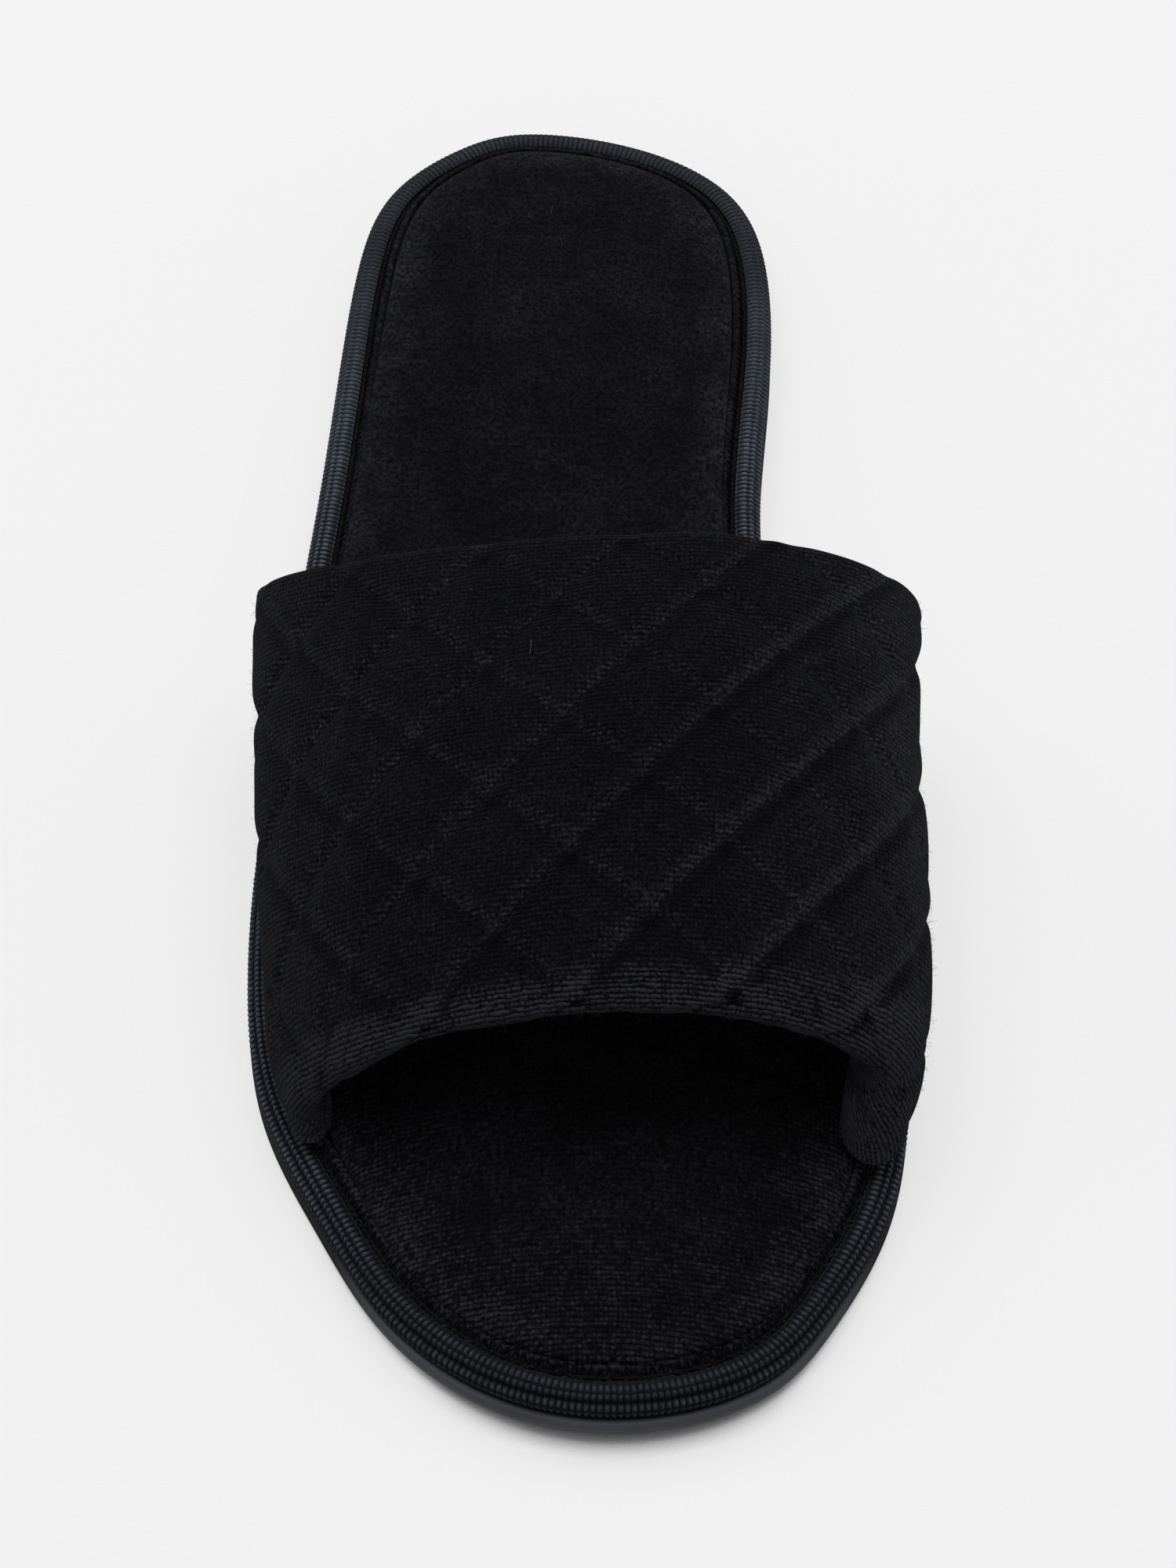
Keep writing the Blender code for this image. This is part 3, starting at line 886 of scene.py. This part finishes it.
def band_section(along):
    """Fine curve over the foot, from the lateral base to the medial base."""
    places = [station[0] for station in BAND]
    power = np.polyfit(places, [station[1:] for station in BAND], len(places) - 1)
    sizes = [float(np.polyval(power[:, k], along)) for k in range(power.shape[1])]
    ridge_z, widest_z = sizes[0] * CROWN, sizes[2] * CROWN
    ridge_x = sizes[1] * WIDTH
    front = np.array(TOE_OPENING) * LENGTH + FRONT_ROLL / 2.0
    back = np.array(THROAT) * LENGTH - WALL / 2.0
    y_ridge, wide_l, wide_m, base_l, base_m = front + (back - front) * along - LENGTH / 2.0
    swell = 4.0 - 2.2 * ramp(along, 0.0, 0.6)
    walls = []
    for side, y_base, y_wide, reach in (
        (-1.0, base_l, wide_l, sizes[3]),
        (1.0, base_m, wide_m, sizes[4]),
    ):
        x_base = float(edge_at(y_base, TAPE_REACH + GAP, side))
        foot = float(seat(np.array(y_base)))
        share = np.linspace(0.0, 1.0, 40)
        x = x_base + (side * reach * WIDTH - x_base) * (1.0 - (1.0 - share) ** swell)
        y = y_base + (y_wide - y_base) * share
        z = foot + GROOVE_TOP + (widest_z - foot - GROOVE_TOP) * share
        wall = np.stack((x, y, z), axis=1)
        walls.append(np.concatenate(([(x_base, y_base, foot + UPPER_FOOT)], wall)))
    angle = np.linspace(0.0, math.pi, 160)[1:-1]
    lateral = angle < math.pi / 2.0
    square = np.where(lateral, sizes[5], sizes[6])
    reach = np.where(lateral, -sizes[3], sizes[4]) * WIDTH
    y_wide = np.where(lateral, wide_l, wide_m)
    out = np.abs(np.cos(angle)) ** (2.0 / square)
    up = np.sin(angle) ** (2.0 / square)
    arch = np.stack((
        ridge_x + (reach - ridge_x) * out,
        y_ridge + (y_wide - y_ridge) * (1.0 - up),
        widest_z + (ridge_z - widest_z) * up,
    ), axis=1)
    return np.concatenate((walls[0], arch, walls[1][::-1]))


def band_columns(curve):
    """Points of one section, spaced by the quilting and gathered toward the base."""
    length = np.linalg.norm(np.diff(curve, axis=0), axis=1)
    length = np.concatenate(([0.0], np.cumsum(length)))
    crown = slice(len(curve) // 4, -len(curve) // 4)
    centre = float(np.interp(-0.030 * WIDTH, curve[crown, 0], length[crown]))
    lip = GROOVE_TOP - UPPER_FOOT
    last = ACROSS - 2
    count = np.arange(1, ACROSS * FINE + 1) / FINE
    spots = []
    for side, total in ((-1.0, centre), (1.0, length[-1] - centre)):
        extra = total - lip - BASE_RISE - CELL * last
        spread = np.clip(1.6 * count / last - 0.6, 0.0, 1.0) ** 1.5
        reach = CELL * count + extra * spread
        low = (total - lip - BASE_RISE, total - lip, total)
        low = np.interp(count, (last, last + 1, last + 2), low)
        spots.append(centre + side * np.where(count > last, low, reach))
    spots = np.concatenate((spots[0][::-1], [centre], spots[1]))
    return np.stack([np.interp(spots, length, curve[:, k]) for k in range(3)], axis=1)


def laid(i, j):
    """Where the quilting falls: laid a little askew, and closer at the throat."""
    return 0.98 * i + 0.046 * j - 0.30, 1.062 * j - 0.063 * i - 0.0021 * i * i - 0.17


def stands(i, j):
    """How far the padding stands up: 0 on a quilting line, 1 between lines."""
    sideways, back = laid(i, j)
    height = 1.0
    dome = 1.0
    for line in (back + sideways, back - sideways):
        off = (np.mod(line / CELLS_APART + 0.5, 1.0) - 0.5) * LINES_APART
        height = height * (1.0 - np.exp(-((off / np.where(off > 0.0, LIT_CREASE, CREASE)) ** 2)))
        dome = dome * np.cos(off / LINES_APART * math.pi - math.pi / 2.0 * np.sign(off))
    return 0.75 * height + 0.25 * np.sqrt(np.abs(dome))


rows_along = np.arange(ALONG * FINE + 1) / FINE
cells_across = np.arange(-ACROSS * FINE, ACROSS * FINE + 1) / FINE
grid = np.array([band_columns(band_section(j / ALONG)) for j in rows_along]).transpose(1, 0, 2)
for _ in range(3):
    grid[1:-1] = 0.25 * grid[:-2] + 0.5 * grid[1:-1] + 0.25 * grid[2:]
normal = np.cross(np.gradient(grid, axis=0), np.gradient(grid, axis=1))
normal /= np.linalg.norm(normal, axis=2, keepdims=True)

# The padding: full between the lines, and calm along the roll, the throat and the seam.
i, j = np.meshgrid(cells_across, rows_along, indexing="ij")
uneven = 1.0 + 0.12 * np.sin(1.7 * i + 0.9 * j) * np.sin(0.8 * i - 1.3 * j + 1.0)
puff = stands(i, j) * uneven * ramp(ACROSS - np.abs(i), 1.0, 3.0)
calm = (0.45 + 0.55 * ramp(j, 0.5, 2.5)) * (0.30 + 0.70 * ramp(ALONG - j, 0.0, 1.6))
puff = 0.5 + (puff - 0.5) * calm

# The wall: outer and inner faces on either side of the grid, thin in the seam.
from_base = measured(grid.transpose(1, 0, 2)).T
from_base = np.minimum(from_base, from_base[-1] - from_base)
begin = GROOVE_TOP - UPPER_FOOT
full = begin + 0.9 * BASE_RISE
wall = WALL + (FRONT_ROLL - WALL) * (1.0 - ramp(rows_along, 0.0, 2.0))
thick = BASE_WALL + (wall - BASE_WALL) * ramp(from_base, begin, full)
at_front = 1.0 - ramp(j, 4.0, 11.0)
thick = thick + CORNER_SAG * ramp(-i, 6.0, 12.0) * ramp(-i, 19.0, 15.0) * at_front
dipped = TURN_UNDER * np.clip(1.0 - rows_along / 1.5, 0.0, 1.0) ** 2
lift = ((puff - 0.5) * PUFF - dipped) * ramp(from_base, begin, full)
outer = grid + normal * lift[..., None]
inner = grid - normal * (thick + LINING_PUFF * puff)[..., None]
foot = (ACROSS - np.abs(cells_across)) <= 1.0
set_back = FOOT_BACK * (1.0 - ramp(j, 0.0, 2.0)) * (1.0 - ramp(from_base, begin, OVER_FOOTBED))
for side in (-1.0, 1.0):
    low = foot & (np.sign(cells_across) == side)
    outer[low] = grid[low]
    x = edge_at(grid[low][..., 1], TAPE_REACH + GAP + BASE_WALL, side)
    inner[low] = np.stack((x, grid[low][..., 1], grid[low][..., 2]), axis=-1)
    level = ramp(side * i, *((14.0, 18.5) if side > 0.0 else (18.5, 22.0))) * at_front
    inner[~foot, :, 2] += ((outer[..., 2] + 0.0003 - inner[..., 2]) * level)[~foot]
    upright = ramp(side * i, 14.0, 18.5) * at_front
    upright = upright * ramp(from_base, OVER_FOOTBED, OVER_FOOTBED + 0.0015)
    x = side * (CORNER_REACH[side] + 0.19 * (inner[..., 1] - CORNER_Y))
    inner[..., 0] += (x - inner[..., 0]) * upright
outer[..., 1] += set_back
inner[..., 1] += set_back


def turned_edge(face, back, ahead, turns, dents, reach=1.0):
    """Points round the turned edge of the band, from its face to its back."""
    across = (back - face) / 2.0
    size = np.linalg.norm(across, axis=1, keepdims=True)
    ahead = ahead - across * np.sum(ahead * across, axis=1, keepdims=True) / size**2
    ahead = ahead / np.linalg.norm(ahead, axis=1, keepdims=True) * size
    centre = (face + back) / 2.0
    return [
        centre + dent[:, None] * (reach * ahead * math.sin(angle) - across * math.cos(angle))
        for angle, dent in zip(turns, dents)
    ]


roll_turns = np.linspace(0.0, math.pi, 13)[1:-1]
roll_rows = -1.2 * np.sin(roll_turns)
roll_dents = [1.0 - 0.16 * (1.0 - stands(cells_across, row)) for row in roll_rows]
roll_reach = 1.0 + 0.6 * ramp(-cells_across, 4.0, 12.0) + 0.45 * ramp(cells_across, 17.0, 20.0)
roll = turned_edge(outer[:, 0], inner[:, 0], outer[:, 0] - outer[:, 2], roll_turns, roll_dents,
                   roll_reach[:, None])
fold_turns = np.linspace(0.0, math.pi, 9)[1:-1]
fold_rows = ALONG + 0.5 * np.sin(fold_turns)
fold = turned_edge(outer[:, -1], inner[:, -1], outer[:, -1] - outer[:, -3], fold_turns,
                   [np.ones(len(cells_across))] * len(fold_turns))

halfway = len(rows_along) // 2


def way_round(lining, roll_part, face, fold_part):
    """Rows along the loop of cloth, from halfway along the lining and back."""
    parts = lining[halfway::-1], roll_part, face, fold_part, lining[:halfway - 1:-1]
    return np.concatenate(parts)


band_points = way_round(inner.transpose(1, 0, 2), roll[::-1], outer.transpose(1, 0, 2), fold)
band_points = band_points.transpose(1, 0, 2)
face_from = halfway + 1 + len(roll)
face_to = face_from + len(rows_along)
feet = []
for end in (0, -1):
    hem = (outer[end] + inner[end]) / 2.0
    front, back = np.repeat(hem[:1], len(roll), axis=0), np.repeat(hem[-1:], len(fold), axis=0)
    feet.append(way_round(hem, front, hem, back)[None])
band_points = np.concatenate((feet[0], band_points, feet[1]))
lengths = measured(band_points)
midway = lengths[len(lengths) // 2]
long_way = np.tile(midway, (len(lengths), 1))
long_way[:, :face_from] = midway[face_from] + lengths[:, :face_from] - lengths[:, [face_from]]
long_way[:, face_to:] = midway[face_to - 1] + lengths[:, face_to:] - lengths[:, [face_to - 1]]
sideways = np.concatenate(([cells_across[0] - 0.2], cells_across, [cells_across[-1] + 0.2]))
band_map = np.stack((np.repeat(sideways[:, None] * CELL, len(midway), axis=1), long_way), axis=2)
row_numbers = way_round(rows_along, roll_rows[::-1], rows_along, fold_rows)
laid_i, laid_j = laid(*np.meshgrid(sideways, row_numbers, indexing="ij"))
quilt_map = np.stack((laid_j + laid_i, laid_j - laid_i), axis=2) / CELLS_APART
quilted_band = skin("quilted_band", band_points, cloth=band_map, quilting=quilt_map)

# quilting: lines a pattern unit apart, each a faint broken crease between two slopes of the
# padding. A slope counts up to 1 behind its line, where it faces the toe, and below 0 ahead
# of it. Row counts cells from the toe edge.
quilting, given, made = effect(
    "quilting", ("Vector", "Apart"), ("Crease", "Falling", "Rising", "Row"),
)
BEHIND_LINE = (-0.0001, 0.0005, 0.0036)
AHEAD_OF_LINE = (-0.0001, -0.0012, -0.0032)
place = split(given["Vector"])
waver = scaled(noise(given["Vector"], 9.0, 3.0), 0.05, -0.025)
creases = []
for axis, slope in (("X", "Falling"), ("Y", "Rising")):
    across = calc("FRACT", calc("ADD", calc("ADD", place[axis], waver), 0.5))
    off = times(calc("SUBTRACT", across, 0.5), given["Apart"])
    creases.append(calc("ABSOLUTE", off))
    behind, ahead = [
        times(ranged(off, begins, top), ranged(off, ends, top))
        for begins, top, ends in (BEHIND_LINE, AHEAD_OF_LINE)
    ]
    feed(made, {slope: scaled(ahead, -0.42, behind)})
# Crease darkens the colour along each line: painted shade in the crease.
crease = ranged(calc("MINIMUM", *creases), 0.0005, 0.0001)
broken = ranged(noise(given["Vector"], 14.0, 2.0), 0.40, 0.60)
both = calc("ADD", place["X"], place["Y"])
feed(made, {
    "Crease": times(crease, broken),
    "Row": times(both, CELLS_APART / 2.0),
})

QUILT_DARK = (0.0002, 0.0002, 0.0004)
QUILT_LIGHT = (0.0270, 0.0275, 0.0330)
quilt, tree, shader = finish(
    "quilted_velour", Roughness=0.95, Specular_IOR_Level=0.06,
    Sheen_Weight=0.035, Sheen_Roughness=0.42, Sheen_Tint=(0.80, 0.85, 1.0, 1.0),
)
place = on_map(tree, "cloth")
sewn = use(quilting, Vector=on_map(tree, "quilting"), Apart=LINES_APART)
rolled = ranged(sewn["Row"], 1.2, 0.4)
sloping = calc("MAXIMUM", sewn["Falling"], sewn["Rising"])
nap = scaled(sloping, -0.12, scaled(patchy(place, 0.007), 0.34, 0.32))
nap = times(nap, scaled(rolled, -0.80, 1.0))
depth = scaled(rolled, -0.45, 0.75)
rows = use(pile, Vector=place, Row=0.00077, Bead=0.00076, Depth=depth, Fluff=0.00050, Nap=nap)
# Painted light and shade on the padding: a slope toward the toe is painted lighter, more so on
# the big-toe side, and a slope away from it darker, most in the middle and on the little-toe side.
# The big-toe side is painted a little lighter all over.
medial = ranged(split(on_object(tree))["X"], -0.045, 0.045)
squared = times(medial, medial)
falling = times(sewn["Falling"], scaled(squared, 0.90, 0.30))
rising = times(sewn["Rising"], scaled(squared, 1.00, 0.88))
central = times(calc("SUBTRACT", medial, squared), 3.4)
falling = scaled(calc("MINIMUM", sewn["Falling"], 0.0), central, falling)
rising = scaled(calc("MINIMUM", sewn["Rising"], 0.0), scaled(squared, -0.85, 0.85), rising)
painted_slope_light = calc("ADD", calc("ADD", falling, rising), scaled(squared, 0.28, 0.93))
tone = patchy(on_object(tree), 0.014)
clumps = patchy(place, 0.0020)
# The roll over the toes is painted lighter, most on the little-toe side: painted light.
painted_roll_light = scaled(squared, 2.28, scaled(medial, -4.12, 3.14))
painted_roll_light = calc("ADD", times(rolled, painted_roll_light), 1.0)
# Faces turned up are painted darker and steep faces lighter: painted shade and sheen.
upward = split(add(tree, "NewGeometry").outputs["Normal"])["Z"]
painted_facing_light = ranged(upward, 0.50, 0.95, 1.72, 0.74)
shade = times(rows["Tone"], scaled(tone, 0.18, 0.33), scaled(clumps, 0.34, 0.78),
              scaled(sewn["Crease"], -0.40, 1.0), painted_slope_light, painted_roll_light, painted_facing_light)
raised = scaled(sewn["Crease"], -0.3, rows["Height"])
feed(shader, {
    "Base Color": blended(shade, QUILT_DARK, QUILT_LIGHT),
    "Normal": bump(1.0, 0.00030, raised),
})
quilted_band.data.materials.append(quilt)
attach(quilted_band, "root")
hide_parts("upper")


# Lint: loose fibres that velour sheds, caught in its own pile and in the creases. Most are
# finer than a hair and stand less than a millimetre high, and a few are long.
NAP_FIBRE = 0.000018
LINT_FIBRE = 0.000028
FIBRE_CLEAR = 0.00006
draw = np.random.default_rng(11)


def fibres(roots, normals, length, spread):
    """Short curved paths that leave the cloth, each its own way."""
    count = len(roots)
    lean = draw.normal(size=(count, 3)) * spread + normals
    lean /= np.linalg.norm(lean, axis=1, keepdims=True)
    curl = draw.normal(size=(count, 3)) * 0.5
    reach = (length * draw.uniform(0.5, 1.5, count))[:, None]
    path = [roots - 0.3 * NAP_FIBRE * normals]
    for share in (0.35, 0.7, 1.0):
        bent = lean * share + curl * share * share * 0.5
        path.append(roots + reach * bent + FIBRE_CLEAR * normals)
    return np.stack(path, axis=1)


open_band = slice(2 * FINE, -2 * FINE)
band_face = outer[open_band].reshape(-1, 3)
band_out = normal[open_band].reshape(-1, 3)
near_line = (1.0 - stands(i, j)[open_band].reshape(-1)) ** 4
roll_face = np.concatenate(roll[2:7])
roll_out = roll_face - np.concatenate([(outer[:, 0] + inner[:, 0]) / 2.0] * 5)
roll_out /= np.linalg.norm(roll_out, axis=1, keepdims=True)
pad_top = pad_points[:, 8:-1].reshape(-1, 3)
pad_out = np.tile((0.0, 0.0, 1.0), (len(pad_top), 1))
on_band = draw.choice(len(band_face), 3200, replace=False)
on_line = draw.choice(len(band_face), 700, replace=False, p=near_line / np.sum(near_line))
on_roll = draw.choice(len(roll_face), 300, replace=False)
on_pad = draw.choice(len(pad_top), 1500, replace=False)
upper_nap = threads("upper_nap", np.concatenate((
    fibres(band_face[on_band], band_out[on_band], 0.0006, 0.8),
    fibres(band_face[on_line], band_out[on_line], 0.0009, 0.9),
    fibres(roll_face[on_roll], roll_out[on_roll], 0.0006, 0.8),
)), NAP_FIBRE, sides=0)
pad_fibres = fibres(pad_top[on_pad], pad_out[on_pad], 0.0007, 1.2)
footbed_nap = threads("footbed_nap", pad_fibres, NAP_FIBRE, sides=0)
stray = draw.choice(len(band_face), 12, replace=False)
fallen = draw.choice(len(pad_top), 10, replace=False)
lint = threads("lint", np.concatenate((
    fibres(band_face[stray], band_out[stray], 0.0013, 2.0),
    fibres(pad_top[fallen], pad_out[fallen], 0.0014, 2.5),
)), LINT_FIBRE, sides=0)

loose, *_ = two_toned(
    "loose_pile", 0.0010, (0.0060, 0.0062, 0.0080), (0.0400, 0.0410, 0.0480),
    Roughness=0.8, Specular_IOR_Level=0.2,
)
pale, *_ = two_toned(
    "pale_lint", 0.004, (0.0400, 0.0390, 0.0380), (0.1400, 0.1360, 0.1320),
    Roughness=0.7, Specular_IOR_Level=0.3,
)
for piece, yarn, slot in (
    (upper_nap, loose, "quilted_velour"),
    (footbed_nap, loose, "footbed_velour"),
    (lint, pale, "quilted_velour"),
):
    piece.data.materials.append(yarn)
    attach(piece, "root")


# Paper of the floor: matt white. The camera sees it partly self-lit, a glow that no lamp gives,
# so that its shadow stays short. The glow is cut close round the shoe: painted shadow.
PAPER_GREY = (0.25, 0.25, 0.25, 1.0)
PAPER_GLOW = (1.0, 1.0, 1.0, 1.0)
SHADOW_REACH = 0.0070
GLOW = 0.640
paper, tree, shader = finish(
    "white_paper", Roughness=1.0, Specular_IOR_Level=0.0,
    Base_Color=PAPER_GREY, Emission_Color=PAPER_GLOW,
)
open_air = add(tree, "AmbientOcclusion", {"Distance": SHADOW_REACH}, samples=8).outputs["AO"]
behind_toe = split(on_object(tree))["Y"]
# Painted shadow: the glow is cut where the floor is hidden, more ahead of the toe and most just
# below it.
ahead = ranged(behind_toe, -0.02, -0.15)
painted_toe_shadow = ranged(behind_toe, -0.118, -0.140, 0.0, 0.27)
dark = calc("ADD", scaled(ahead, 0.28, 0.04), painted_toe_shadow)
open_floor = scaled(ahead, 0.42, scaled(painted_toe_shadow, 0.6, 0.24))
glow = ranged(open_air, dark, open_floor, 0.0, GLOW)
to_camera = add(tree, "LightPath").outputs["Is Camera Ray"]
feed(shader, {"Emission Strength": times(glow, to_camera)})
paper_floor.data.materials.append(paper)
